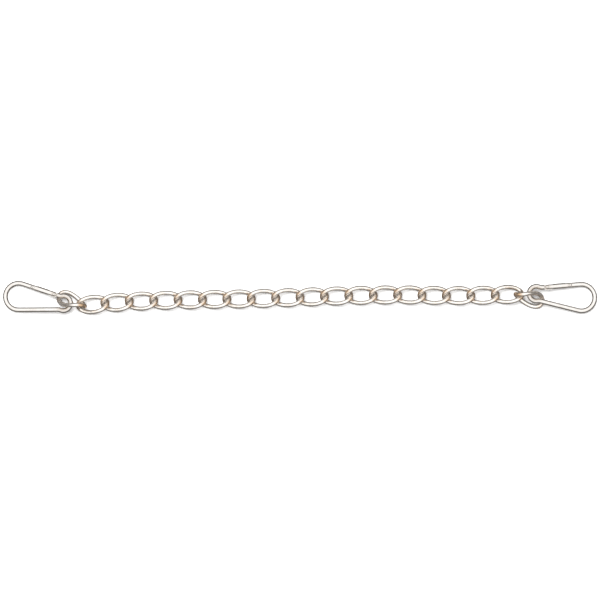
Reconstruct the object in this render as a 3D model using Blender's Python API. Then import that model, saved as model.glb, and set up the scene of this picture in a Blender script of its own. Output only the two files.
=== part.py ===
"""Curb chain with a pear-shaped spring snap hook at each end.

Twenty twisted, butt-welded wire links hang in one another, and the first and the last link
hang in the round eyes of the two hooks. Each hook is a bent wire body with a sprung gate
that turns on a rivet and shuts on the body's notched nose.

Lengths below are in millimetres and angles in degrees; meshes are made in metres.
The chain lies flat on the plane z = 0, along X, with its box centred on the origin.
"""
import math

import bpy
import bmesh
import numpy as np
from mathutils import Matrix, Vector

MM = 0.001

# ---- chain ----
LINK_COUNT = 20
LINK_WIRE = 2.4            # wire diameter
LINK_PITCH = 13.75         # interlock to interlock
LINK_PLAY = 0.30           # clearance between the crowns of neighbouring links
LINK_HALF_WIDTH = 4.25      # centreline to centreline is twice this
LINK_TWIST = 45.0          # each end of a link is turned this far from its middle
LINK_HALF_LENGTH = (LINK_PITCH + LINK_WIRE + LINK_PLAY) / 2
LINK_SQUARENESS = 2.6      # exponent of the oval: 2 is an ellipse
LINK_SIDES = 8
LINK_STEPS = 26
BEND_SHARE = 4.0           # extra rings where the oval bends, in millimetres per radian
BEDDING = 0.04             # a flat-lying link sits this far into its wear flats
WEAR_FLAT = 0.14           # wire lower than this above the ground is worn flat

# heading of links 2 to 19 as the chain lies
LINK_HEADING = (6.0, 4.0, 2.0, 1.5, 1.0, 1.0, 1.0, 1.5, 2.0, 2.0, 2.0, 1.0, 1.0, -1.0, -1.0,
                0.0, 1.5, 2.0)
SECOND_LINK = (-117.35, -4.23)         # centre of link 2

# the end links stand rolled and tipped where they pass through the hook eyes
FIRST_LINK = dict(centre=(-129.017, -2.245, 4.150), roll=-46.25, heading=-22.0, pitch=20.83)
LAST_LINK = dict(centre=(128.42, -0.67, 3.920), roll=42.34, heading=-16.48, pitch=-19.48)

# ---- snap hooks ----
HOOK_WIRE = 2.7
BEND_R = 7.5               # centreline radius of the wide bend
EYE_R = 4.2                # centreline radius of the eye
HOOK_SPAN = 25.9           # eye centre to bend centre
SPINE_OFFSET = 3.5         # the spine's line passes this far from the eye centre
GATE_OFFSET = 3.25         # the gate's line passes this far from the eye centre
KINK_SMOOTHING = 0.55      # how softly the wire turns into the eye
HOOK_SIDES = 12
HOOK_TURN = 14.0           # largest turn between two rings of the wire

# stations along the gate's line, from the foot of the eye centre
HINGE_SHOULDER = 4.80
HINGE_AT = 6.6
CATCH_AT = 18.7
NOSE_SHOULDER = 20.3
NOSE_TIP = 17.1

TONGUE_THICK = 0.84
TONGUE_TIP_R = 3.0
TONGUE_IN, TONGUE_OUT = 1.75, 1.20     # tongue width on the hook's inner and outer side
NOSE_HALF_WIDTH = 1.10
NOTCH_WIDTH = 1.40
TONGUE_HOLE_R = 0.62

GATE_R = 1.50
GATE_END_R = 1.50          # rounding of the fork about the rivet
GATE_LENGTH = 13.4         # rivet axis to the nose end
GATE_SIDES = 16
SLOT_WIDTH = 1.40
HINGE_SLOT = 3.5
NOSE_SLOT = 10.1
BORE_R = 0.75
BORE_END = 8.6
GATE_HOLE_R = 0.62

PIN_R = 0.45
PIN_HALF_LENGTH = 1.43
PIN_CHAMFER = 0.10

PLUNGER_TIP = 3.25
PLUNGER_HEAD_R = 0.50
PLUNGER_HEAD = 1.05
PLUNGER_STEM_R = 0.17
PLUNGER_STEM = 1.9

SPRING_START = 4.62
SPRING_END = 8.35
SPRING_COIL_R = 0.46
SPRING_WIRE_R = 0.10
SPRING_TURNS = 6

LEFT_HOOK = dict(eye=(-133.76, -3.55, 4.20), heading=171.5, tilt=4.925, turned_over=True)
RIGHT_HOOK = dict(eye=(132.50, 1.86, 4.20), heading=-4.9, tilt=4.925, turned_over=False)

# brings the box of the whole chain onto the origin
CENTRE_SHIFT = (0.530, 0.346)

NICKEL = (0.74, 0.71, 0.67)
SPRING_STEEL = (0.42, 0.41, 0.40)


# ---------------------------------------------------------------- helpers
def clear_scene():
    for ob in list(bpy.data.objects):
        bpy.data.objects.remove(ob, do_unlink=True)


def steel(name, colour, roughness):
    mat = bpy.data.materials.new(name)
    mat.use_nodes = True
    bsdf = mat.node_tree.nodes["Principled BSDF"]
    bsdf.inputs["Base Color"].default_value = (*colour, 1.0)
    bsdf.inputs["Metallic"].default_value = 1.0
    bsdf.inputs["Roughness"].default_value = roughness
    return mat


def add_object(name, verts_mm, faces, matrix, material, smooth=True):
    """An object from points in its own frame, in millimetres, placed by a matrix in millimetres."""
    mesh = bpy.data.meshes.new(name)
    mesh.from_pydata([tuple(c * MM for c in v) for v in verts_mm], [], faces)
    bm = bmesh.new()
    bm.from_mesh(mesh)
    bmesh.ops.recalc_face_normals(bm, faces=bm.faces)
    bm.to_mesh(mesh)
    bm.free()
    mesh.update()
    if smooth:
        mesh.shade_smooth()
        mesh.set_sharp_from_angle(angle=math.radians(50))
    ob = bpy.data.objects.new(name, mesh)
    bpy.context.scene.collection.objects.link(ob)
    world = matrix.copy()
    world.translation = world.translation * MM
    ob.matrix_world = world
    if material is not None:
        mesh.materials.append(material)
    return ob


def skin(rings, closed):
    """Quads between rings of equal length, with flat caps on an open tube."""
    n, m = len(rings), len(rings[0])
    verts = [p for ring in rings for p in ring]
    faces = []
    for i in range(n if closed else n - 1):
        a, b = i * m, ((i + 1) % n) * m
        for j in range(m):
            k = (j + 1) % m
            faces.append((a + j, a + k, b + k, b + j))
    if not closed:
        faces.append(tuple(reversed(range(m))))
        faces.append(tuple(range((n - 1) * m, n * m)))
    return verts, faces


def cutter(name, verts_mm, faces, matrix):
    ob = add_object(name, verts_mm, faces, matrix, None, smooth=False)
    ob.hide_render = True
    ob.display_type = "WIRE"
    return ob


def cut(ob, tool):
    mod = ob.modifiers.new("cut_" + tool.name, "BOOLEAN")
    mod.operation = "DIFFERENCE"
    mod.solver = "EXACT"
    mod.object = tool


def rod(radius, z0, z1, sides, chamfer=0.0):
    """A round bar along Z."""
    stations = [(z0, radius - chamfer), (z0 + chamfer, radius), (z1 - chamfer, radius),
                (z1, radius - chamfer)] if chamfer else [(z0, radius), (z1, radius)]
    rings = []
    for z, r in stations:
        rings.append([(r * math.cos(2 * math.pi * (j + 0.5) / sides),
                       r * math.sin(2 * math.pi * (j + 0.5) / sides), z) for j in range(sides)])
    return skin(rings, False)


def block(x0, x1, y0, y1, z0, z1):
    rings = [[(x, y0, z0), (x, y1, z0), (x, y1, z1), (x, y0, z1)] for x in (x0, x1)]
    return skin(rings, False)


# ---------------------------------------------------------------- links
def link_outline(steps=LINK_STEPS):
    """Points of the flat oval, closer together where it bends most."""
    a, b = LINK_HALF_LENGTH, LINK_HALF_WIDTH
    t = np.linspace(0.0, 2 * math.pi, 721)
    x = a * np.sign(np.cos(t)) * np.abs(np.cos(t)) ** (2 / LINK_SQUARENESS)
    y = b * np.sign(np.sin(t)) * np.abs(np.sin(t)) ** (2 / LINK_SQUARENESS)
    dx, dy = np.diff(x), np.diff(y)
    turn = np.abs(np.diff(np.unwrap(np.arctan2(dy, dx))))
    turn = np.append(turn, turn[-1])
    along = np.append(0.0, np.cumsum(np.hypot(dx, dy) + BEND_SHARE * turn))
    at = np.linspace(0.0, along[-1], steps + 1)[:-1]
    return list(zip(np.interp(at, along, x).tolist(), np.interp(at, along, y).tolist()))


def link_point(x, y):
    """The oval's point after the twist about the link's length."""
    phi = math.radians(-LINK_TWIST * x / LINK_HALF_LENGTH)
    return np.array([x, y * math.cos(phi), y * math.sin(phi)])


def link_rings(sides=LINK_SIDES, wire=LINK_WIRE):
    flat = link_outline()
    n = len(flat)
    centre = [link_point(*p) for p in flat]
    rings = []
    for i in range(n):
        c = centre[i]
        t = centre[(i + 1) % n] - centre[i - 1]
        t = t / np.linalg.norm(t)
        phi = math.radians(-LINK_TWIST * flat[i][0] / LINK_HALF_LENGTH)
        up = np.array([0.0, -math.sin(phi), math.cos(phi)])
        up = up - t * float(up @ t)
        up = up / np.linalg.norm(up)
        out = np.cross(t, up)
        rings.append([tuple(c + wire / 2 * (math.cos(2 * math.pi * j / sides) * out
                                            + math.sin(2 * math.pi * j / sides) * up))
                      for j in range(sides)])
    return rings


def link_matrix(centre, heading, roll=0.0, pitch=0.0):
    return (Matrix.Translation(Vector(centre))
            @ Matrix.Rotation(math.radians(heading), 4, "Z")
            @ Matrix.Rotation(math.radians(-pitch), 4, "Y")
            @ Matrix.Rotation(math.radians(roll), 4, "X"))


def resting_height():
    """Height of a flat-lying link's centre, with its wear flats on the ground."""
    low = min(p[2] for ring in link_rings() for p in ring)
    return -low - BEDDING


def chain_layout():
    """Matrix of every link, in order from the left end."""
    dx, dy = CENTRE_SHIFT
    z = resting_height()
    first = FIRST_LINK["centre"]
    mats = [link_matrix((first[0] + dx, first[1] + dy, first[2]), FIRST_LINK["heading"],
                        FIRST_LINK["roll"], FIRST_LINK["pitch"])]
    x, y = SECOND_LINK[0] + dx, SECOND_LINK[1] + dy
    for i, heading in enumerate(LINK_HEADING):
        h = math.radians(heading)
        if i:
            x += LINK_PITCH / 2 * math.cos(h)
            y += LINK_PITCH / 2 * math.sin(h)
        mats.append(link_matrix((x, y, z), heading))
        x += LINK_PITCH / 2 * math.cos(h)
        y += LINK_PITCH / 2 * math.sin(h)
    last = LAST_LINK["centre"]
    mats.append(link_matrix((last[0] + dx, last[1] + dy, last[2]), LAST_LINK["heading"],
                            LAST_LINK["roll"], LAST_LINK["pitch"]))
    return mats


ROOT_LINK = 10


def link_pivot(mats, i):
    """Where link i turns on the neighbour that is nearer the middle of the chain, i from 1."""
    if i < ROOT_LINK:
        return mats[i] @ Vector((-LINK_PITCH / 2, 0, 0))
    if i > ROOT_LINK:
        return mats[i - 2] @ Vector((LINK_PITCH / 2, 0, 0))
    return mats[i - 1].translation


def make_links(material):
    mats = chain_layout()
    verts, faces = skin(link_rings(), True)
    for i in range(1, LINK_COUNT + 1):
        m = mats[i - 1]
        pivot = link_pivot(mats, i)
        origin = m.copy()
        origin.translation = pivot
        back = origin.inverted()
        local = []
        for v in verts:
            w = m @ Vector(v)
            w.z = w.z if w.z > WEAR_FLAT else 0.0
            local.append(tuple(back @ w))
        add_object("link_%02d" % i, local, faces, origin, material)


# ---------------------------------------------------------------- hooks
def unit(deg):
    return np.array([math.cos(math.radians(deg)), math.sin(math.radians(deg))])


GATE_ANGLE = math.degrees(math.asin((BEND_R - GATE_OFFSET) / HOOK_SPAN))
SPINE_ANGLE = math.degrees(math.asin((BEND_R - SPINE_OFFSET) / HOOK_SPAN))
GATE_DIR = unit(GATE_ANGLE)
GATE_OUT = unit(GATE_ANGLE + 90)
SPINE_DIR = unit(-SPINE_ANGLE)
SPINE_OUT = unit(-SPINE_ANGLE - 90)


def on_gate_line(along):
    return GATE_OUT * GATE_OFFSET + GATE_DIR * along


def arc(centre, radius, start, end, step=1.0):
    n = max(2, int(abs(end - start) / step))
    return [np.array(centre) + radius * unit(start + (end - start) * k / n) for k in range(n + 1)]


def hook_centreline():
    """Nose shoulder, wide bend, spine, eye and hinge shoulder, in the plane of the hook."""
    pts = [on_gate_line(s) for s in np.linspace(NOSE_SHOULDER, HOOK_SPAN * GATE_DIR[0], 30)]
    pts += arc((HOOK_SPAN, 0.0), BEND_R, 90 + GATE_ANGLE, -90 - SPINE_ANGLE)[1:]
    meet = math.sqrt(EYE_R ** 2 - SPINE_OFFSET ** 2)
    spine = [SPINE_OUT * SPINE_OFFSET + SPINE_DIR * s
             for s in np.linspace(HOOK_SPAN * SPINE_DIR[0], meet, 100)]
    pts += spine[1:]
    start = math.degrees(math.atan2(spine[-1][1], spine[-1][0]))
    foot = math.sqrt(EYE_R ** 2 - GATE_OFFSET ** 2)
    end_pt = on_gate_line(foot)
    end = math.degrees(math.atan2(end_pt[1], end_pt[0])) - 360
    pts += arc((0.0, 0.0), EYE_R, start, end)[1:]
    pts += [on_gate_line(s) for s in np.linspace(foot, HINGE_SHOULDER, 16)][1:]
    return soften(np.array(pts), KINK_SMOOTHING)


def soften(pts, sigma, step=0.05):
    """Even steps along the wire, with every kink rounded and both ends kept straight."""
    gone = np.r_[0, np.cumsum(np.linalg.norm(np.diff(pts, axis=0), axis=1))]
    s = np.linspace(0, gone[-1], int(gone[-1] / step))
    even = np.stack([np.interp(s, gone, pts[:, k]) for k in range(2)], 1)
    h = s[1] - s[0]
    w = int(3 * sigma / h)
    kernel = np.exp(-0.5 * (np.arange(-w, w + 1) * h / sigma) ** 2)
    kernel /= kernel.sum()
    before = 2 * even[0] - even[1:w + 1][::-1]
    after = 2 * even[-1] - even[-w - 1:-1][::-1]
    padded = np.vstack([before, even, after])
    return np.stack([np.convolve(padded[:, k], kernel, "valid") for k in range(2)], 1)


def thin_out(pts, turn, longest=5.0):
    """Fewer points: one wherever the wire has turned far enough."""
    d = np.diff(pts, axis=0)
    heading = np.unwrap(np.arctan2(d[:, 1], d[:, 0]))
    length = np.linalg.norm(d, axis=1)
    keep, turned, ran = [0], 0.0, 0.0
    for i in range(1, len(d)):
        turned += abs(heading[i] - heading[i - 1])
        ran += length[i - 1]
        if turned >= math.radians(turn) or ran >= longest:
            keep.append(i)
            turned = ran = 0.0
    if len(pts) - 1 - keep[-1] < 6:
        keep.pop()
    keep.append(len(pts) - 1)
    tangents = []
    for i in keep:
        a, b = max(i - 1, 0), min(i + 1, len(pts) - 1)
        t = pts[b] - pts[a]
        tangents.append(t / np.linalg.norm(t))
    return [(pts[i], t) for i, t in zip(keep, tangents)]


PLATE = [(1.0, 0.5), (0.88, 1.0), (0.33, 1.0), (-0.33, 1.0), (-0.88, 1.0), (-1.0, 0.5)]
PLATE += [(x, -y) for x, y in reversed(PLATE)]


def wire_ring(centre, tangent, radius):
    side = np.array([-tangent[1], tangent[0]])
    ring = []
    for j in range(HOOK_SIDES):
        t = 2 * math.pi * (j + 0.5) / HOOK_SIDES
        p = centre + side * radius * math.cos(t)
        ring.append((p[0], p[1], radius * math.sin(t)))
    return ring


def plate_ring(along, low, high, half_thick):
    """A flattened section across the gate's line, from low to high across it."""
    mid, half = (low + high) / 2, (high - low) / 2
    ring = []
    for x, y in PLATE:
        p = on_gate_line(along) + GATE_OUT * (mid + half * x)
        ring.append((p[0], p[1], half_thick * y))
    return ring


def hook_matrix(spec):
    dx, dy = CENTRE_SHIFT
    x, y, z = spec["eye"]
    m = (Matrix.Translation(Vector((x + dx, y + dy, z)))
         @ Matrix.Rotation(math.radians(spec["heading"]), 4, "Z")
         @ Matrix.Rotation(math.radians(spec["tilt"]), 4, "Y"))
    if spec["turned_over"]:
        m = m @ Matrix.Rotation(math.pi, 4, "X")
    return m


def gate_matrix(hook):
    at = on_gate_line(HINGE_AT)
    return (hook @ Matrix.Translation(Vector((at[0], at[1], 0)))
            @ Matrix.Rotation(math.radians(GATE_ANGLE), 4, "Z"))


def hook_body(name, hook, material):
    b = TONGUE_THICK / 2
    rings = [plate_ring(NOSE_TIP, -0.75, 0.75, b),
             plate_ring(NOSE_TIP + 0.3, -NOSE_HALF_WIDTH, NOSE_HALF_WIDTH, b),
             plate_ring(NOSE_SHOULDER - 0.01, -NOSE_HALF_WIDTH, NOSE_HALF_WIDTH, b)]
    for p, t in thin_out(hook_centreline(), HOOK_TURN):
        rings.append(wire_ring(p, t, HOOK_WIRE / 2))
    rings.append(plate_ring(HINGE_SHOULDER + 0.01, -1.2, TONGUE_OUT, b))
    rings.append(plate_ring(HINGE_SHOULDER + 1.0, -TONGUE_IN, TONGUE_OUT, b))
    for d in (2.05, 2.45, 2.75, 2.93):
        half = math.sqrt(TONGUE_TIP_R ** 2 - d ** 2)
        rings.append(plate_ring(HINGE_AT + d, -min(TONGUE_IN, half), min(TONGUE_OUT, half), b))
    verts, faces = skin(rings, False)
    body = add_object(name, verts, faces, hook, material)

    gate = gate_matrix(hook)
    v, f = rod(TONGUE_HOLE_R, -2.5, 2.5, 14)
    cut(body, cutter(name + "_hinge_hole", v, f, gate))
    reach = CATCH_AT - HINGE_AT
    n = 10
    outline = [(NOTCH_WIDTH / 2, -3.0)]
    outline += [(NOTCH_WIDTH / 2 * math.cos(math.pi * k / n), NOTCH_WIDTH / 2 * math.sin(math.pi * k / n))
                for k in range(n + 1)]
    outline += [(-NOTCH_WIDTH / 2, -3.0)]
    v, f = skin([[(reach + x, y, z) for x, y in outline] for z in (-2.5, 2.5)], False)
    cut(body, cutter(name + "_nose_notch", v, f, gate))
    return body


def gate_body(name, place, material):
    rings = []
    for x in (-1.47, -1.3, -1.0, -0.6, 0.0, GATE_LENGTH - 0.15, GATE_LENGTH):
        across = GATE_R
        if x < 0:
            across = min(GATE_R, math.sqrt(GATE_END_R ** 2 - x ** 2))
        scale = 0.90 if x == GATE_LENGTH else 1.0
        rings.append([(x, scale * across * math.cos(2 * math.pi * (j + 0.5) / GATE_SIDES),
                       scale * GATE_R * math.sin(2 * math.pi * (j + 0.5) / GATE_SIDES))
                      for j in range(GATE_SIDES)])
    verts, faces = skin(rings, False)
    gate = add_object(name, verts, faces, place, material)
    s = SLOT_WIDTH / 2
    v, f = block(-3.0, HINGE_SLOT, -3, 3, -s, s)
    cut(gate, cutter(name + "_hinge_slot", v, f, place))
    v, f = block(NOSE_SLOT, GATE_LENGTH + 2, -3, 3, -s, s)
    cut(gate, cutter(name + "_nose_slot", v, f, place))
    v, f = rod(BORE_R, HINGE_SLOT - 0.5, BORE_END, 12)
    cut(gate, cutter(name + "_bore", v, f, place @ Matrix.Rotation(math.pi / 2, 4, "Y")))
    v, f = rod(GATE_HOLE_R, -2.5, 2.5, 14)
    cut(gate, cutter(name + "_rivet_hole", v, f, place))
    v, f = rod(GATE_HOLE_R, -2.5, 2.5, 14)
    cut(gate, cutter(name + "_catch_hole", v, f,
                     place @ Matrix.Translation(Vector((CATCH_AT - HINGE_AT, 0, 0)))))
    return gate


def plunger(name, place, material):
    """A headed pin on the gate's axis: domed towards the tongue, its stem inside the spring."""
    profile = [(0.16, 0.0), (0.38, 0.10), (PLUNGER_HEAD_R, 0.34), (PLUNGER_HEAD_R, PLUNGER_HEAD),
               (PLUNGER_STEM_R, PLUNGER_HEAD), (PLUNGER_STEM_R, PLUNGER_HEAD + PLUNGER_STEM)]
    n = 12
    rings = [[(PLUNGER_TIP + x, r * math.cos(2 * math.pi * j / n), r * math.sin(2 * math.pi * j / n))
              for j in range(n)] for r, x in profile]
    verts, faces = skin(rings, False)
    return add_object(name, verts, faces, place, material)


def coil_spring(name, place, material, per_turn=9, sides=5):
    """A compression spring round the gate's axis."""
    n = SPRING_TURNS * per_turn
    rings = []
    run = SPRING_END - SPRING_START
    for i in range(n + 1):
        t = 2 * math.pi * i / per_turn
        c = np.array([SPRING_START + run * i / n, SPRING_COIL_R * math.cos(t), SPRING_COIL_R * math.sin(t)])
        out = np.array([0.0, math.cos(t), math.sin(t)])
        along = np.array([run / (2 * math.pi * SPRING_TURNS), -SPRING_COIL_R * math.sin(t),
                          SPRING_COIL_R * math.cos(t)])
        along /= np.linalg.norm(along)
        other = np.cross(along, out)
        rings.append([tuple(c + SPRING_WIRE_R * (math.cos(2 * math.pi * j / sides) * out
                                                 + math.sin(2 * math.pi * j / sides) * other))
                      for j in range(sides)])
    verts, faces = skin(rings, False)
    return add_object(name, verts, faces, place, material)


def make_hook(side, spec, bright, dull):
    hook = hook_matrix(spec)
    place = gate_matrix(hook)
    catch = place @ Matrix.Translation(Vector((CATCH_AT - HINGE_AT, 0, 0)))
    hook_body(side + "_hook_body", hook, bright)
    gate_body(side + "_hook_gate", place, bright)
    v, f = rod(PIN_R, -PIN_HALF_LENGTH, PIN_HALF_LENGTH, 14, PIN_CHAMFER)
    add_object(side + "_hinge_rivet", v, f, place, bright)
    add_object(side + "_catch_pin", v, f, catch, bright)
    plunger(side + "_spring_plunger", place, dull)
    coil_spring(side + "_gate_spring", place, dull)


def main():
    clear_scene()
    make_links(steel("nickel_plated_links", NICKEL, 0.22))
    bright = steel("nickel_plated_hooks", NICKEL, 0.18)
    dull = steel("spring_steel", SPRING_STEEL, 0.4)
    make_hook("left", LEFT_HOOK, bright, dull)
    make_hook("right", RIGHT_HOOK, bright, dull)


main()
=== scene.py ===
import math

import bmesh
import bpy
import numpy as np
from mathutils import Matrix, Vector


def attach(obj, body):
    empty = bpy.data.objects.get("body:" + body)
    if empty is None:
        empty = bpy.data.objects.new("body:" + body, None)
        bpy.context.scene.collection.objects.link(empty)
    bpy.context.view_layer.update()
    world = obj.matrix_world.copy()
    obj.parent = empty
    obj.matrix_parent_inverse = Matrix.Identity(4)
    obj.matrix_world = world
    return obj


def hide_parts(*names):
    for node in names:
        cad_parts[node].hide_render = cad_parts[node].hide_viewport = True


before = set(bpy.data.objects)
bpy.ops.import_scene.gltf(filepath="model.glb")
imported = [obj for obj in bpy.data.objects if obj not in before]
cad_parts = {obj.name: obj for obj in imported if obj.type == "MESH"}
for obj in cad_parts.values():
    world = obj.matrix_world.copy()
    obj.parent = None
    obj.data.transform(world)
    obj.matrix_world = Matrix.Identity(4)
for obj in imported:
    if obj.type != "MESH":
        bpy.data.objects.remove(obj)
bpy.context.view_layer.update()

MM = 0.001

# ---- chain, in millimetres and degrees, as in the CAD ----
LINK_COUNT = 20
LINK_WIRE = 2.4
LINK_PITCH = 13.75
LINK_PLAY = 0.30
LINK_HALF_WIDTH = 4.25
LINK_TWIST = 45.0
LINK_HALF_LENGTH = (LINK_PITCH + LINK_WIRE + LINK_PLAY) / 2
LINK_HEADING = (6.0, 4.0, 2.0, 1.5, 1.0, 1.0, 1.0, 1.5, 2.0, 2.0, 2.0, 1.0, 1.0, -1.0, -1.0,
                0.0, 1.5, 2.0)
SECOND_LINK = (-117.35, -4.23)
FIRST_LINK = dict(centre=(-129.017, -2.245, 4.150), roll=-46.25, heading=-22.0, pitch=20.83)
LAST_LINK = dict(centre=(128.42, -0.67, 3.920), roll=42.34, heading=-16.48, pitch=-19.48)
RESTING_HEIGHT = 2.934117
CENTRE_SHIFT = (0.530, 0.346)

LINK_SQUARENESS = 2.6
LINK_SIDES = 28
LINK_STEPS = 84
BEND_SHARE = 4.0
WELD_BULGE = 0.05          # the butt weld in the middle of one side
WELD_LENGTH = 0.50

# ---- snap hooks ----
HOOK_WIRE = 2.7
BEND_R = 7.5
EYE_R = 4.2
HOOK_SPAN = 25.9
SPINE_OFFSET = 3.5
GATE_OFFSET = 3.25
KINK_SMOOTHING = 0.55
HINGE_SHOULDER = 4.80
HINGE_AT = 6.6
CATCH_AT = 18.7
NOSE_SHOULDER = 20.3
NOSE_TIP = 17.1
TONGUE_THICK = 0.84
TONGUE_TIP_R = 3.0
TONGUE_IN, TONGUE_OUT = 1.75, 1.20
NOSE_HALF_WIDTH = 1.10
NOTCH_WIDTH = 1.40
TONGUE_HOLE_R = 0.62
GATE_R = 1.50
GATE_END_R = 1.50
GATE_LENGTH = 13.4
SLOT_WIDTH = 1.40
HINGE_SLOT = 3.5
NOSE_SLOT = 10.1
BORE_R = 0.75
BORE_END = 8.6
GATE_HOLE_R = 0.62
PIN_R = 0.45
PLUNGER_TIP = 3.25
PLUNGER_HEAD_R = 0.50
PLUNGER_HEAD = 1.05
PLUNGER_STEM_R = 0.17
PLUNGER_STEM = 1.9
SPRING_START = 4.62
SPRING_END = 8.35
SPRING_COIL_R = 0.46
SPRING_WIRE_R = 0.10
SPRING_TURNS = 6
LEFT_HOOK = dict(eye=(-133.76, -3.55, 4.20), heading=171.5, tilt=4.925, turned_over=True)
RIGHT_HOOK = dict(eye=(132.50, 1.86, 4.20), heading=-4.9, tilt=4.925, turned_over=False)

HOOK_SIDES = 36
GATE_SIDES = 48

# ---- picture ----
VIEW_WIDTH = 338.04        # what the camera takes in across, at the chain
VIEW_CENTRE = (0.0, -1.38)
CAMERA_HEIGHT = 1500.0
ROOM_LEAN = 4.0            # the bright ceiling leans this far to the far side
ROOM_STRENGTH = 1.22
FILL_POWER = 27.0


# ---------------------------------------------------------------- materials
class Nodes:
    """Short hand for building a node tree."""

    def __init__(self, name):
        self.mat = bpy.data.materials.new(name)
        self.mat.use_nodes = True
        self.tree = self.mat.node_tree
        self.bsdf = self.tree.nodes["Principled BSDF"]

    def new(self, kind, **values):
        node = self.tree.nodes.new(kind)
        for key, value in values.items():
            if key.startswith("in_"):
                node.inputs[key[3:].replace("_", " ")].default_value = value
            else:
                setattr(node, key, value)
        return node

    def link(self, a, b):
        self.tree.links.new(a, b)

    def noise(self, vector, scale, detail=3.0, roughness=0.5):
        node = self.new("ShaderNodeTexNoise")
        node.inputs["Scale"].default_value = scale
        node.inputs["Detail"].default_value = detail
        node.inputs["Roughness"].default_value = roughness
        self.link(vector, node.inputs["Vector"])
        return node.outputs["Fac"]

    def ramp(self, value, low, high, to_low, to_high):
        node = self.new("ShaderNodeMapRange")
        node.inputs["From Min"].default_value = low
        node.inputs["From Max"].default_value = high
        node.inputs["To Min"].default_value = to_low
        node.inputs["To Max"].default_value = to_high
        self.link(value, node.inputs["Value"])
        return node.outputs["Result"]

    def math(self, how, a, b):
        node = self.new("ShaderNodeMath", operation=how)
        for socket, value in zip(node.inputs, (a, b)):
            if isinstance(value, float):
                socket.default_value = value
            else:
                self.link(value, socket)
        return node.outputs[0]

    def mix(self, factor, a, b):
        node = self.new("ShaderNodeMix", data_type="RGBA")
        self.link(factor, node.inputs[0])
        for socket, value in ((node.inputs[6], a), (node.inputs[7], b)):
            if isinstance(value, tuple):
                socket.default_value = (*value, 1.0)
            else:
                self.link(value, socket)
        return node.outputs[2]


def plated_wire(name, colour, warm, shade_and_tarnish, rough_low, rough_high, brown, metallic):
    """Bright nickel plate over drawn wire: lines along the wire, small dents, painted shade and tarnish in the
    joints.
    """
    n = Nodes(name)
    coords = n.new("ShaderNodeTexCoord")
    place = coords.outputs["Object"]
    stretch = n.new("ShaderNodeMapping")
    stretch.inputs["Scale"].default_value = (0.35, 7.0, 1.0)
    n.link(coords.outputs["UV"], stretch.inputs["Vector"])
    lines = n.noise(stretch.outputs["Vector"], 1.0, 4.0, 0.6)
    cloud = n.noise(place, 260.0, 3.0)
    dents = n.noise(place, 900.0, 2.0)
    grain = n.noise(place, 5200.0, 2.0)

    # painted shade and tarnish: the mesh's mask mixes the brown into the base colour in the joints
    shade_and_tarnish_mask = n.new("ShaderNodeAttribute", attribute_name="shade_and_tarnish").outputs["Fac"]
    patchy = n.ramp(n.noise(place, 700.0, 4.0, 0.65), 0.30, 0.70, 0.55, 1.25)
    shade_and_tarnish_mask = n.math("MULTIPLY", shade_and_tarnish_mask, patchy)
    shade_and_tarnish_mask = n.ramp(shade_and_tarnish_mask, 0.0, 1.0, 0.0, shade_and_tarnish)

    tone = n.mix(n.ramp(cloud, 0.35, 0.70, 0.0, 1.0), colour, warm)
    n.link(n.mix(shade_and_tarnish_mask, tone, brown), n.bsdf.inputs["Base Color"])
    n.bsdf.inputs["Metallic"].default_value = metallic
    rough = n.ramp(n.math("ADD", n.math("MULTIPLY", cloud, 0.6), n.math("MULTIPLY", lines, 0.4)),
                   0.30, 0.70, rough_low, rough_high)
    n.link(n.math("ADD", rough, n.math("MULTIPLY", shade_and_tarnish_mask, 0.22)), n.bsdf.inputs["Roughness"])

    height = n.math("ADD", n.math("MULTIPLY", lines, 0.25), n.math("MULTIPLY", dents, 1.0))
    height = n.math("ADD", height, n.math("MULTIPLY", grain, 0.10))
    bump = n.new("ShaderNodeBump")
    bump.inputs["Strength"].default_value = 0.55
    bump.inputs["Distance"].default_value = 0.000035
    n.link(height, bump.inputs["Height"])
    n.link(bump.outputs["Normal"], n.bsdf.inputs["Normal"])
    return n.mat


def spring_steel(name):
    n = Nodes(name)
    place = n.new("ShaderNodeTexCoord").outputs["Object"]
    cloud = n.noise(place, 1200.0, 3.0)
    n.link(n.mix(n.ramp(cloud, 0.35, 0.65, 0.0, 1.0), (0.40, 0.39, 0.38), (0.30, 0.27, 0.24)),
           n.bsdf.inputs["Base Color"])
    n.bsdf.inputs["Metallic"].default_value = 1.0
    n.link(n.ramp(cloud, 0.3, 0.7, 0.28, 0.45), n.bsdf.inputs["Roughness"])
    bump = n.new("ShaderNodeBump")
    bump.inputs["Strength"].default_value = 0.4
    bump.inputs["Distance"].default_value = 0.00001
    n.link(n.noise(place, 6000.0, 2.0), bump.inputs["Height"])
    n.link(bump.outputs["Normal"], n.bsdf.inputs["Normal"])
    return n.mat


NICKEL = (0.96, 0.932, 0.898)
WARM = (0.92, 0.852, 0.775)
# BROWN is the colour of the painted shade and tarnish in the links' joints
BROWN = (0.55, 0.32, 0.125)


# ---------------------------------------------------------------- meshes
def skin(rings, closed):
    n, m = len(rings), len(rings[0])
    verts = [p for ring in rings for p in ring]
    faces = []
    for i in range(n if closed else n - 1):
        a, b = i * m, ((i + 1) % n) * m
        for j in range(m):
            k = (j + 1) % m
            faces.append((a + j, a + k, b + k, b + j))
    if not closed:
        faces.append(tuple(reversed(range(m))))
        faces.append(tuple(range((n - 1) * m, n * m)))
    return verts, faces


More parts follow.
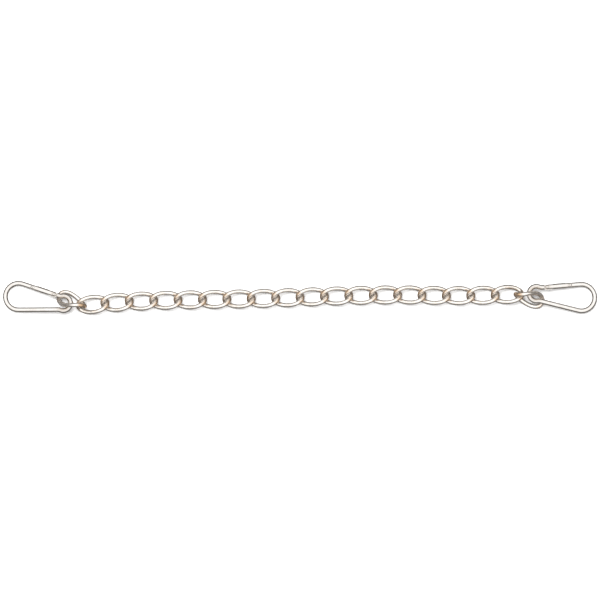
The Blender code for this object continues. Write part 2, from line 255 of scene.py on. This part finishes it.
def tube_uv(mesh, rings, closed, girth):
    """u runs along the wire and v round it, both in millimetres."""
    n, m = len(rings), len(rings[0])
    centres = np.array([np.mean(r, axis=0) for r in rings])
    steps = np.linalg.norm(np.diff(np.vstack([centres, centres[:1]]), axis=0), axis=1)
    along = np.r_[0, np.cumsum(steps)]
    layer = mesh.uv_layers.new(name="wire")
    for poly in mesh.polygons:
        loops = list(poly.loop_indices)
        idx = [mesh.loops[i].vertex_index for i in loops]
        rows = [i // m for i in idx]
        cols = [i % m for i in idx]
        wrap_r = closed and max(rows) - min(rows) > 1
        wrap_c = max(cols) - min(cols) > m // 2 and len(idx) == 4
        for li, r, c in zip(loops, rows, cols):
            if wrap_r and r == 0:
                r = n
            if wrap_c and c == 0:
                c = m
            layer.data[li].uv = (along[r], girth * c / m)


def mesh_object(name, verts_mm, faces, matrix, sharp=38.0):
    """Points in millimetres, in the frame that matrix places, as a mesh in world metres."""
    mesh = bpy.data.meshes.new(name)
    rot = np.array(matrix.to_3x3())
    off = np.array(matrix.translation)
    pts = (np.array(verts_mm, float) @ rot.T + off) * MM
    mesh.from_pydata(pts.tolist(), [], faces)
    bm = bmesh.new()
    bm.from_mesh(mesh)
    bmesh.ops.recalc_face_normals(bm, faces=bm.faces)
    bm.to_mesh(mesh)
    bm.free()
    mesh.shade_smooth()
    if sharp:
        mesh.set_sharp_from_angle(angle=math.radians(sharp))
    mesh.update()
    ob = bpy.data.objects.new(name, mesh)
    bpy.context.scene.collection.objects.link(ob)
    return ob


def set_shade_and_tarnish(ob, values):
    attr = ob.data.attributes.new("shade_and_tarnish", "FLOAT", "POINT")
    attr.data.foreach_set("value", np.asarray(values, np.float32))


def soften_edges(ob, tools, width=0.045, angle=40.0):
    """Cuts the tools out of a piece, then rounds every sharp edge a little."""
    for tool in tools:
        mod = ob.modifiers.new("cut", "BOOLEAN")
        mod.operation = "DIFFERENCE"
        mod.solver = "EXACT"
        mod.object = tool
    bevel = ob.modifiers.new("edge", "BEVEL")
    bevel.width = width * MM
    bevel.segments = 2
    bevel.limit_method = "ANGLE"
    bevel.angle_limit = math.radians(angle)
    bevel.use_clamp_overlap = True
    bpy.context.view_layer.update()
    deps = bpy.context.evaluated_depsgraph_get()
    mesh = bpy.data.meshes.new_from_object(ob.evaluated_get(deps))
    ob.modifiers.clear()
    old = ob.data
    ob.data = mesh
    mesh.name = ob.name
    bpy.data.meshes.remove(old)
    for tool in tools:
        bpy.data.objects.remove(tool, do_unlink=True)
    mesh.shade_smooth()
    mesh.set_sharp_from_angle(angle=math.radians(42))


def finish_piece(ob, material, body, node):
    ob.data.materials.clear()
    ob.data.materials.append(material)
    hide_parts(node)
    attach(ob, body)


def rod(radius, z0, z1, sides):
    return skin([[(radius * math.cos(2 * math.pi * (j + 0.5) / sides),
                   radius * math.sin(2 * math.pi * (j + 0.5) / sides), z) for j in range(sides)]
                 for z in (z0, z1)], False)


def block(x0, x1, y0, y1, z0, z1):
    return skin([[(x, y0, z0), (x, y1, z0), (x, y1, z1), (x, y0, z1)] for x in (x0, x1)], False)


def turned(profile, sides):
    """A solid of revolution along Z, from (radius, z) pairs; the end rings are small flats."""
    return skin([[(r * math.cos(2 * math.pi * j / sides), r * math.sin(2 * math.pi * j / sides), z)
                  for j in range(sides)] for r, z in profile], False)


# ---------------------------------------------------------------- links
def link_outline(steps=LINK_STEPS):
    a, b = LINK_HALF_LENGTH, LINK_HALF_WIDTH
    t = np.linspace(0.0, 2 * math.pi, 721)
    x = a * np.sign(np.cos(t)) * np.abs(np.cos(t)) ** (2 / LINK_SQUARENESS)
    y = b * np.sign(np.sin(t)) * np.abs(np.sin(t)) ** (2 / LINK_SQUARENESS)
    dx, dy = np.diff(x), np.diff(y)
    turn = np.abs(np.diff(np.unwrap(np.arctan2(dy, dx))))
    turn = np.append(turn, turn[-1])
    along = np.append(0.0, np.cumsum(np.hypot(dx, dy) + BEND_SHARE * turn))
    at = np.linspace(0.0, along[-1], steps + 1)[:-1]
    return list(zip(np.interp(at, along, x).tolist(), np.interp(at, along, y).tolist()))


def link_point(x, y):
    phi = math.radians(-LINK_TWIST * x / LINK_HALF_LENGTH)
    return np.array([x, y * math.cos(phi), y * math.sin(phi)])


def link_rings():
    """Rings of the twisted oval, and how much painted shade and tarnish each point has."""
    flat = link_outline()
    n = len(flat)
    centre = [link_point(*p) for p in flat]
    rings, shade_and_tarnish = [], []
    for i in range(n):
        c = centre[i]
        t = centre[(i + 1) % n] - centre[i - 1]
        t = t / np.linalg.norm(t)
        x, y = flat[i]
        phi = math.radians(-LINK_TWIST * x / LINK_HALF_LENGTH)
        up = np.array([0.0, -math.sin(phi), math.cos(phi)])
        up = up - t * float(up @ t)
        up = up / np.linalg.norm(up)
        inward = np.cross(t, up)
        r = LINK_WIRE / 2
        if y < 0:
            r += WELD_BULGE * math.exp(-(x / WELD_LENGTH) ** 2)
        # painted shade and tarnish: brown laid on both crowns of each link, where the links interlock,
        # heaviest on one side of the wire
        near = min(max((abs(x) - 5.3) / 1.9, 0.0), 1.0)
        near = near * near * (3 - 2 * near)
        ring = []
        for j in range(LINK_SIDES):
            a = 2 * math.pi * j / LINK_SIDES
            ring.append(tuple(c + r * (math.cos(a) * inward + math.sin(a) * up)))
            facing = 0.5 + 0.5 * math.cos(a)
            shade_and_tarnish.append(near * min(1.0, 1.30 * facing ** 2.2))
        rings.append(ring)
    return rings, shade_and_tarnish


def link_matrix(centre, heading, roll=0.0, pitch=0.0):
    return (Matrix.Translation(Vector(centre))
            @ Matrix.Rotation(math.radians(heading), 4, "Z")
            @ Matrix.Rotation(math.radians(-pitch), 4, "Y")
            @ Matrix.Rotation(math.radians(roll), 4, "X"))


def chain_layout():
    dx, dy = CENTRE_SHIFT
    first = FIRST_LINK["centre"]
    mats = [link_matrix((first[0] + dx, first[1] + dy, first[2]), FIRST_LINK["heading"],
                        FIRST_LINK["roll"], FIRST_LINK["pitch"])]
    x, y = SECOND_LINK[0] + dx, SECOND_LINK[1] + dy
    for i, heading in enumerate(LINK_HEADING):
        h = math.radians(heading)
        if i:
            x += LINK_PITCH / 2 * math.cos(h)
            y += LINK_PITCH / 2 * math.sin(h)
        mats.append(link_matrix((x, y, RESTING_HEIGHT), heading))
        x += LINK_PITCH / 2 * math.cos(h)
        y += LINK_PITCH / 2 * math.sin(h)
    last = LAST_LINK["centre"]
    mats.append(link_matrix((last[0] + dx, last[1] + dy, last[2]), LAST_LINK["heading"],
                            LAST_LINK["roll"], LAST_LINK["pitch"]))
    return mats


def make_links(material):
    rings, shade_and_tarnish = link_rings()
    verts, faces = skin(rings, True)
    for i, m in enumerate(chain_layout(), 1):
        ob = mesh_object("fine_link_%02d" % i, verts, faces, m, sharp=0)
        tube_uv(ob.data, rings, True, math.pi * LINK_WIRE)
        for v in ob.data.vertices:      # worn flat where it lies
            v.co.z = max(v.co.z, 0.0)
        set_shade_and_tarnish(ob, shade_and_tarnish)
        finish_piece(ob, material, "link_%02d" % i, "link_%02d" % i)


# ---------------------------------------------------------------- hooks
def unit(deg):
    return np.array([math.cos(math.radians(deg)), math.sin(math.radians(deg))])


GATE_ANGLE = math.degrees(math.asin((BEND_R - GATE_OFFSET) / HOOK_SPAN))
SPINE_ANGLE = math.degrees(math.asin((BEND_R - SPINE_OFFSET) / HOOK_SPAN))
GATE_DIR = unit(GATE_ANGLE)
GATE_OUT = unit(GATE_ANGLE + 90)
SPINE_DIR = unit(-SPINE_ANGLE)
SPINE_OUT = unit(-SPINE_ANGLE - 90)


def on_gate_line(along):
    return GATE_OUT * GATE_OFFSET + GATE_DIR * along


def arc(centre, radius, start, end, step=1.0):
    n = max(2, int(abs(end - start) / step))
    return [np.array(centre) + radius * unit(start + (end - start) * k / n) for k in range(n + 1)]


def soften(pts, sigma, step=0.05):
    gone = np.r_[0, np.cumsum(np.linalg.norm(np.diff(pts, axis=0), axis=1))]
    s = np.linspace(0, gone[-1], int(gone[-1] / step))
    even = np.stack([np.interp(s, gone, pts[:, k]) for k in range(2)], 1)
    h = s[1] - s[0]
    w = int(3 * sigma / h)
    kernel = np.exp(-0.5 * (np.arange(-w, w + 1) * h / sigma) ** 2)
    kernel /= kernel.sum()
    before = 2 * even[0] - even[1:w + 1][::-1]
    after = 2 * even[-1] - even[-w - 1:-1][::-1]
    padded = np.vstack([before, even, after])
    return np.stack([np.convolve(padded[:, k], kernel, "valid") for k in range(2)], 1)


def hook_centreline():
    pts = [on_gate_line(s) for s in np.linspace(NOSE_SHOULDER, HOOK_SPAN * GATE_DIR[0], 30)]
    pts += arc((HOOK_SPAN, 0.0), BEND_R, 90 + GATE_ANGLE, -90 - SPINE_ANGLE)[1:]
    meet = math.sqrt(EYE_R ** 2 - SPINE_OFFSET ** 2)
    spine = [SPINE_OUT * SPINE_OFFSET + SPINE_DIR * s
             for s in np.linspace(HOOK_SPAN * SPINE_DIR[0], meet, 100)]
    pts += spine[1:]
    start = math.degrees(math.atan2(spine[-1][1], spine[-1][0]))
    foot = math.sqrt(EYE_R ** 2 - GATE_OFFSET ** 2)
    end_pt = on_gate_line(foot)
    end = math.degrees(math.atan2(end_pt[1], end_pt[0])) - 360
    pts += arc((0.0, 0.0), EYE_R, start, end)[1:]
    pts += [on_gate_line(s) for s in np.linspace(foot, HINGE_SHOULDER, 16)][1:]
    return soften(np.array(pts), KINK_SMOOTHING)


def stations(pts, turn=3.5, longest=1.2):
    """Points along the wire, close together in the bends."""
    d = np.diff(pts, axis=0)
    heading = np.unwrap(np.arctan2(d[:, 1], d[:, 0]))
    length = np.linalg.norm(d, axis=1)
    keep, turned_by, ran = [0], 0.0, 0.0
    for i in range(1, len(d)):
        turned_by += abs(heading[i] - heading[i - 1])
        ran += length[i - 1]
        if turned_by >= math.radians(turn) or ran >= longest:
            keep.append(i)
            turned_by = ran = 0.0
    if len(pts) - 1 - keep[-1] < 6:
        keep.pop()
    keep.append(len(pts) - 1)
    out = []
    for i in keep:
        a, b = max(i - 1, 0), min(i + 1, len(pts) - 1)
        t = pts[b] - pts[a]
        out.append((pts[i], t / np.linalg.norm(t)))
    return out


def wire_ring(centre, tangent, radius):
    side = np.array([-tangent[1], tangent[0]])
    ring = []
    for j in range(HOOK_SIDES):
        t = 2 * math.pi * (j + 0.5) / HOOK_SIDES
        p = centre + side * radius * math.cos(t)
        ring.append((p[0], p[1], radius * math.sin(t)))
    return ring


def plate_ring(along, low, high, half_thick, power=9.0):
    """A flattened section with rounded corners across the gate's line."""
    mid, half = (low + high) / 2, (high - low) / 2
    ring = []
    for j in range(HOOK_SIDES):
        t = 2 * math.pi * (j + 0.5) / HOOK_SIDES
        c, s = half * math.cos(t), half_thick * math.sin(t)
        d = math.hypot(c, s)
        c, s = c / d, s / d
        r = (abs(c / half) ** power + abs(s / half_thick) ** power) ** (-1 / power)
        p = on_gate_line(along) + GATE_OUT * (mid + r * c)
        ring.append((p[0], p[1], r * s))
    return ring


def hook_matrix(spec):
    dx, dy = CENTRE_SHIFT
    x, y, z = spec["eye"]
    m = (Matrix.Translation(Vector((x + dx, y + dy, z)))
         @ Matrix.Rotation(math.radians(spec["heading"]), 4, "Z")
         @ Matrix.Rotation(math.radians(spec["tilt"]), 4, "Y"))
    if spec["turned_over"]:
        m = m @ Matrix.Rotation(math.pi, 4, "X")
    return m


def gate_matrix(hook):
    at = on_gate_line(HINGE_AT)
    return (hook @ Matrix.Translation(Vector((at[0], at[1], 0)))
            @ Matrix.Rotation(math.radians(GATE_ANGLE), 4, "Z"))


def tool(verts, faces, matrix):
    return mesh_object("cutter", verts, faces, matrix, sharp=0)


def shade_and_tarnish_round_eye(ob, hook):
    """Painted shade and tarnish inside the eye, where the end link rubs, and a little at the hinge and nose.
    """
    inverse = np.array(hook.inverted())
    pts = np.zeros(len(ob.data.vertices) * 3)
    ob.data.vertices.foreach_get("co", pts)
    pts = pts.reshape(-1, 3) / MM
    local = pts @ inverse[:3, :3].T + inverse[:3, 3]
    dist = np.linalg.norm(local[:, :2], axis=1)
    inside = np.clip((EYE_R + 0.9 - dist) / 1.9, 0, 1)
    hinge = np.array(on_gate_line(HINGE_AT))
    catch = np.array(on_gate_line(CATCH_AT))
    near_hinge = np.exp(-(np.linalg.norm(local[:, :2] - hinge, axis=1) / 1.5) ** 2)
    near_catch = np.exp(-(np.linalg.norm(local[:, :2] - catch, axis=1) / 1.3) ** 2)
    set_shade_and_tarnish(ob, np.clip(inside + 0.55 * near_hinge + 0.35 * near_catch, 0, 1))


def hook_body(side, hook, material):
    b = TONGUE_THICK / 2
    full = HOOK_WIRE / 2
    rings = [plate_ring(NOSE_TIP, -0.75, 0.75, b * 0.8),
             plate_ring(NOSE_TIP + 0.10, -0.92, 0.92, b),
             plate_ring(NOSE_TIP + 0.35, -NOSE_HALF_WIDTH, NOSE_HALF_WIDTH, b)]
    for s in np.linspace(NOSE_TIP + 0.8, NOSE_SHOULDER - 0.01, 6):
        rings.append(plate_ring(s, -NOSE_HALF_WIDTH, NOSE_HALF_WIDTH, b))
    steps = stations(hook_centreline())
    first, last = steps[0], steps[-1]
    rings.append(wire_ring(first[0], first[1], full * 0.90))
    rings.append(wire_ring(first[0] + first[1] * 0.06, first[1], full * 0.965))
    rings.append(wire_ring(first[0] + first[1] * 0.16, first[1], full))
    for p, t in steps[1:-1]:
        rings.append(wire_ring(p, t, full))
    rings.append(wire_ring(last[0] - last[1] * 0.16, last[1], full))
    rings.append(wire_ring(last[0] - last[1] * 0.06, last[1], full * 0.965))
    rings.append(wire_ring(last[0], last[1], full * 0.90))
    rings.append(plate_ring(HINGE_SHOULDER + 0.01, -1.15, TONGUE_OUT, b))
    rings.append(plate_ring(HINGE_SHOULDER + 0.35, -1.35, TONGUE_OUT, b))
    for k in range(1, 4):
        rings.append(plate_ring(HINGE_SHOULDER + 0.35 + 0.65 * k / 3,
                                -1.35 - (TONGUE_IN - 1.35) * k / 3, TONGUE_OUT, b))
    for d in (0.2, 1.0, 1.7, 2.05, 2.25, 2.45, 2.62, 2.76, 2.86, 2.93):
        half = math.sqrt(TONGUE_TIP_R ** 2 - d ** 2)
        rings.append(plate_ring(HINGE_AT + d, -min(TONGUE_IN, half), min(TONGUE_OUT, half), b))
    verts, faces = skin(rings, False)
    ob = mesh_object("fine_%s_hook_body" % side, verts, faces, hook, sharp=0)
    tube_uv(ob.data, rings, False, math.pi * HOOK_WIRE)

    gate = gate_matrix(hook)
    v, f = rod(TONGUE_HOLE_R, -2.5, 2.5, 36)
    hole = tool(v, f, gate)
    reach = CATCH_AT - HINGE_AT
    n = 20
    outline = [(NOTCH_WIDTH / 2, -3.0)]
    outline += [(NOTCH_WIDTH / 2 * math.cos(math.pi * k / n),
                 NOTCH_WIDTH / 2 * math.sin(math.pi * k / n)) for k in range(n + 1)]
    outline += [(-NOTCH_WIDTH / 2, -3.0)]
    v, f = skin([[(reach + x, y, z) for x, y in outline] for z in (-2.5, 2.5)], False)
    notch = tool(v, f, gate)
    soften_edges(ob, [hole, notch], 0.04)
    shade_and_tarnish_round_eye(ob, hook)
    finish_piece(ob, material, "hook_" + side, side + "_hook_body")


def gate_body(side, hook, place, material):
    rings = []
    xs = [-1.47, -1.42, -1.31, -1.14, -0.93, -0.70, -0.40, 0.0]
    xs += list(np.linspace(1.0, GATE_LENGTH - 0.9, 12)) + [GATE_LENGTH - 0.16, GATE_LENGTH - 0.05,
                                                            GATE_LENGTH]
    for x in xs:
        across = GATE_R
        if x < 0:
            across = min(GATE_R, math.sqrt(GATE_END_R ** 2 - x ** 2))
        scale = {GATE_LENGTH: 0.90, GATE_LENGTH - 0.05: 0.96}.get(x, 1.0)
        rings.append([(x, scale * across * math.cos(2 * math.pi * (j + 0.5) / GATE_SIDES),
                       scale * GATE_R * math.sin(2 * math.pi * (j + 0.5) / GATE_SIDES))
                      for j in range(GATE_SIDES)])
    verts, faces = skin(rings, False)
    ob = mesh_object("fine_%s_hook_gate" % side, verts, faces, place, sharp=0)
    tube_uv(ob.data, rings, False, math.pi * 2 * GATE_R)
    s = SLOT_WIDTH / 2
    tools = []
    v, f = block(-3.0, HINGE_SLOT, -3, 3, -s, s)
    tools.append(tool(v, f, place))
    v, f = block(NOSE_SLOT, GATE_LENGTH + 2, -3, 3, -s, s)
    tools.append(tool(v, f, place))
    v, f = rod(BORE_R, HINGE_SLOT - 0.5, BORE_END, 32)
    tools.append(tool(v, f, place @ Matrix.Rotation(math.pi / 2, 4, "Y")))
    v, f = rod(GATE_HOLE_R, -2.5, 2.5, 36)
    tools.append(tool(v, f, place))
    v, f = rod(GATE_HOLE_R, -2.5, 2.5, 36)
    tools.append(tool(v, f, place @ Matrix.Translation(Vector((CATCH_AT - HINGE_AT, 0, 0)))))
    soften_edges(ob, tools, 0.04)
    shade_and_tarnish_round_eye(ob, hook)
    finish_piece(ob, material, "gate_" + side, side + "_hook_gate")


def pin(side, what, place, material, hook):
    """A peened pin: a plain shank between two low domed heads set in the fork's ears."""
    half = [(0.03, 1.550), (0.20, 1.540), (0.36, 1.512), (0.48, 1.472), (0.565, 1.415),
            (0.595, 1.35), (0.595, 1.15), (0.565, 1.11), (PIN_R, 1.09), (PIN_R, 0.40)]
    profile = [(r, -z) for r, z in half] + [(r, z) for r, z in reversed(half)]
    verts, faces = turned(profile, 32)
    ob = mesh_object("fine_%s_%s" % (side, what), verts, faces, place, sharp=40)
    tube_uv(ob.data, [[(r * math.cos(2 * math.pi * j / 32), r * math.sin(2 * math.pi * j / 32), z)
                       for j in range(32)] for r, z in profile], False, math.pi * 2 * PIN_R)
    # painted shade: a darker ring at the rim of each head, where it sits in the ear's hole, and a faint brown
    # over the rest of the pin
    set_shade_and_tarnish(ob, [0.45 if abs(r - 0.595) < 0.02 else 0.15 for r, z in profile for _ in range(32)])
    finish_piece(ob, material, "gate_" + side, "%s_%s" % (side, what))


def plunger(side, place, material):
    profile = [(0.05, 0.0), (0.16, 0.015), (0.28, 0.06), (0.38, 0.13), (0.46, 0.24),
               (PLUNGER_HEAD_R, 0.38), (PLUNGER_HEAD_R, PLUNGER_HEAD - 0.04),
               (PLUNGER_HEAD_R - 0.04, PLUNGER_HEAD), (PLUNGER_STEM_R, PLUNGER_HEAD),
               (PLUNGER_STEM_R, PLUNGER_HEAD + PLUNGER_STEM - 0.04),
               (PLUNGER_STEM_R - 0.04, PLUNGER_HEAD + PLUNGER_STEM)]
    n = 24
    rings = [[(PLUNGER_TIP + x, r * math.cos(2 * math.pi * j / n), r * math.sin(2 * math.pi * j / n))
              for j in range(n)] for r, x in profile]
    verts, faces = skin(rings, False)
    ob = mesh_object("fine_%s_spring_plunger" % side, verts, faces, place, sharp=40)
    finish_piece(ob, material, "gate_" + side, side + "_spring_plunger")


def coil_spring(side, place, material, per_turn=22, sides=10):
    n = SPRING_TURNS * per_turn
    rings = []
    run = SPRING_END - SPRING_START
    for i in range(n + 1):
        t = 2 * math.pi * i / per_turn
        c = np.array([SPRING_START + run * i / n, SPRING_COIL_R * math.cos(t),
                      SPRING_COIL_R * math.sin(t)])
        out = np.array([0.0, math.cos(t), math.sin(t)])
        along = np.array([run / (2 * math.pi * SPRING_TURNS), -SPRING_COIL_R * math.sin(t),
                          SPRING_COIL_R * math.cos(t)])
        along /= np.linalg.norm(along)
        other = np.cross(along, out)
        rings.append([tuple(c + SPRING_WIRE_R * (math.cos(2 * math.pi * j / sides) * out
                                                 + math.sin(2 * math.pi * j / sides) * other))
                      for j in range(sides)])
    verts, faces = skin(rings, False)
    ob = mesh_object("fine_%s_gate_spring" % side, verts, faces, place, sharp=50)
    finish_piece(ob, material, "gate_" + side, side + "_gate_spring")


def make_hook(side, spec, bright, dull):
    hook = hook_matrix(spec)
    place = gate_matrix(hook)
    catch = place @ Matrix.Translation(Vector((CATCH_AT - HINGE_AT, 0, 0)))
    hook_body(side, hook, bright)
    gate_body(side, hook, place, bright)
    pin(side, "hinge_rivet", place, bright, hook)
    pin(side, "catch_pin", catch, bright, hook)
    plunger(side, place, dull)
    coil_spring(side, place, dull)


# ---------------------------------------------------------------- studio
PAPER = (0.86, 0.86, 0.86)


def make_floor():
    size = 3.0
    mesh = bpy.data.meshes.new("floor")
    z = -0.00002
    mesh.from_pydata([(-size, -size, z), (size, -size, z), (size, size, z), (-size, size, z)], [],
                     [(0, 1, 2, 3)])
    ob = bpy.data.objects.new("floor", mesh)
    bpy.context.scene.collection.objects.link(ob)
    n = Nodes("white_paper")
    n.bsdf.inputs["Base Color"].default_value = (*PAPER, 1.0)
    n.bsdf.inputs["Roughness"].default_value = 0.9
    n.bsdf.inputs["Specular IOR Level"].default_value = 0.0
    mesh.materials.append(n.mat)
    ob.visible_glossy = False          # the metal mirrors the room, not the white paper
    return ob


def fill(name, location, size_x, size_y, power, colour=(1.0, 1.0, 1.0)):
    """Soft light for the paper and its shadows; the metal mirrors the room and not this."""
    data = bpy.data.lights.new(name, "AREA")
    data.shape = "RECTANGLE"
    data.size = size_x
    data.size_y = size_y
    data.energy = power
    data.color = colour
    ob = bpy.data.objects.new(name, data)
    bpy.context.scene.collection.objects.link(ob)
    ob.location = location
    ob.rotation_mode = "QUATERNION"
    ob.rotation_quaternion = (-Vector(location)).to_track_quat("-Z", "Y")
    ob.visible_glossy = False
    return ob


def make_world():
    """A white room seen directly; what the metal mirrors is darker towards the horizon."""
    world = bpy.data.worlds.new("studio")
    bpy.context.scene.world = world
    world.use_nodes = True
    tree = world.node_tree
    tree.nodes.clear()
    out = tree.nodes.new("ShaderNodeOutputWorld")
    direct = tree.nodes.new("ShaderNodeBackground")
    direct.inputs["Color"].default_value = (1.0, 1.0, 1.0, 1.0)
    direct.inputs["Strength"].default_value = 1.0
    around = tree.nodes.new("ShaderNodeBackground")
    coords = tree.nodes.new("ShaderNodeTexCoord")
    height = tree.nodes.new("ShaderNodeVectorMath")
    height.operation = "DOT_PRODUCT"
    lean = math.radians(ROOM_LEAN)
    height.inputs[1].default_value = (0.25 * math.sin(lean), 0.97 * math.sin(lean), math.cos(lean))
    tree.links.new(coords.outputs["Generated"], height.inputs[0])
    ramp = tree.nodes.new("ShaderNodeValToRGB")
    tree.links.new(height.outputs["Value"], ramp.inputs[0])
    stops = ramp.color_ramp.elements
    stops[0].position, stops[0].color = 0.0, (0.125, 0.115, 0.107, 1)
    stops[1].position, stops[1].color = 1.0, (1.0, 0.995, 0.99, 1)
    for at, colour in ((0.22, (0.115, 0.106, 0.098, 1)), (0.41, (0.22, 0.206, 0.192, 1)),
                       (0.58, (0.97, 0.962, 0.952, 1))):
        stop = stops.new(at)
        stop.color = colour
    tree.links.new(ramp.outputs["Color"], around.inputs["Color"])
    around.inputs["Strength"].default_value = ROOM_STRENGTH
    path = tree.nodes.new("ShaderNodeLightPath")
    mix = tree.nodes.new("ShaderNodeMixShader")
    tree.links.new(path.outputs["Is Camera Ray"], mix.inputs[0])
    tree.links.new(around.outputs[0], mix.inputs[1])
    tree.links.new(direct.outputs[0], mix.inputs[2])
    tree.links.new(mix.outputs[0], out.inputs["Surface"])


def make_camera():
    data = bpy.data.cameras.new("camera")
    cam = bpy.data.objects.new("camera", data)
    bpy.context.scene.collection.objects.link(cam)
    bpy.context.scene.camera = cam
    data.sensor_width = 36.0
    data.lens = 36.0 * (CAMERA_HEIGHT - 3.0) / VIEW_WIDTH
    data.clip_start, data.clip_end = 0.1, 20.0
    cam.location = (VIEW_CENTRE[0] * MM, VIEW_CENTRE[1] * MM, CAMERA_HEIGHT * MM)
    cam.rotation_euler = (0.0, 0.0, 0.0)


links_metal = plated_wire("nickel_plated_links", NICKEL, WARM, 0.78, 0.12, 0.23, BROWN, 0.94)
# the hooks' brown (0.44, 0.335, 0.235) is the colour of their painted shade and tarnish
hooks_metal = plated_wire("nickel_plated_hooks", (0.875, 0.856, 0.832), (0.80, 0.762, 0.718), 0.72, 0.06, 0.15,
                           (0.44, 0.335, 0.235), 1.0)
dull_metal = spring_steel("spring_steel")
make_links(links_metal)
make_hook("left", LEFT_HOOK, hooks_metal, dull_metal)
make_hook("right", RIGHT_HOOK, hooks_metal, dull_metal)
make_floor()
make_world()
fill("fill", (-0.25, 0.50, 1.15), 1.0, 0.9, FILL_POWER)
make_camera()
bpy.context.scene.view_settings.view_transform = "Standard"
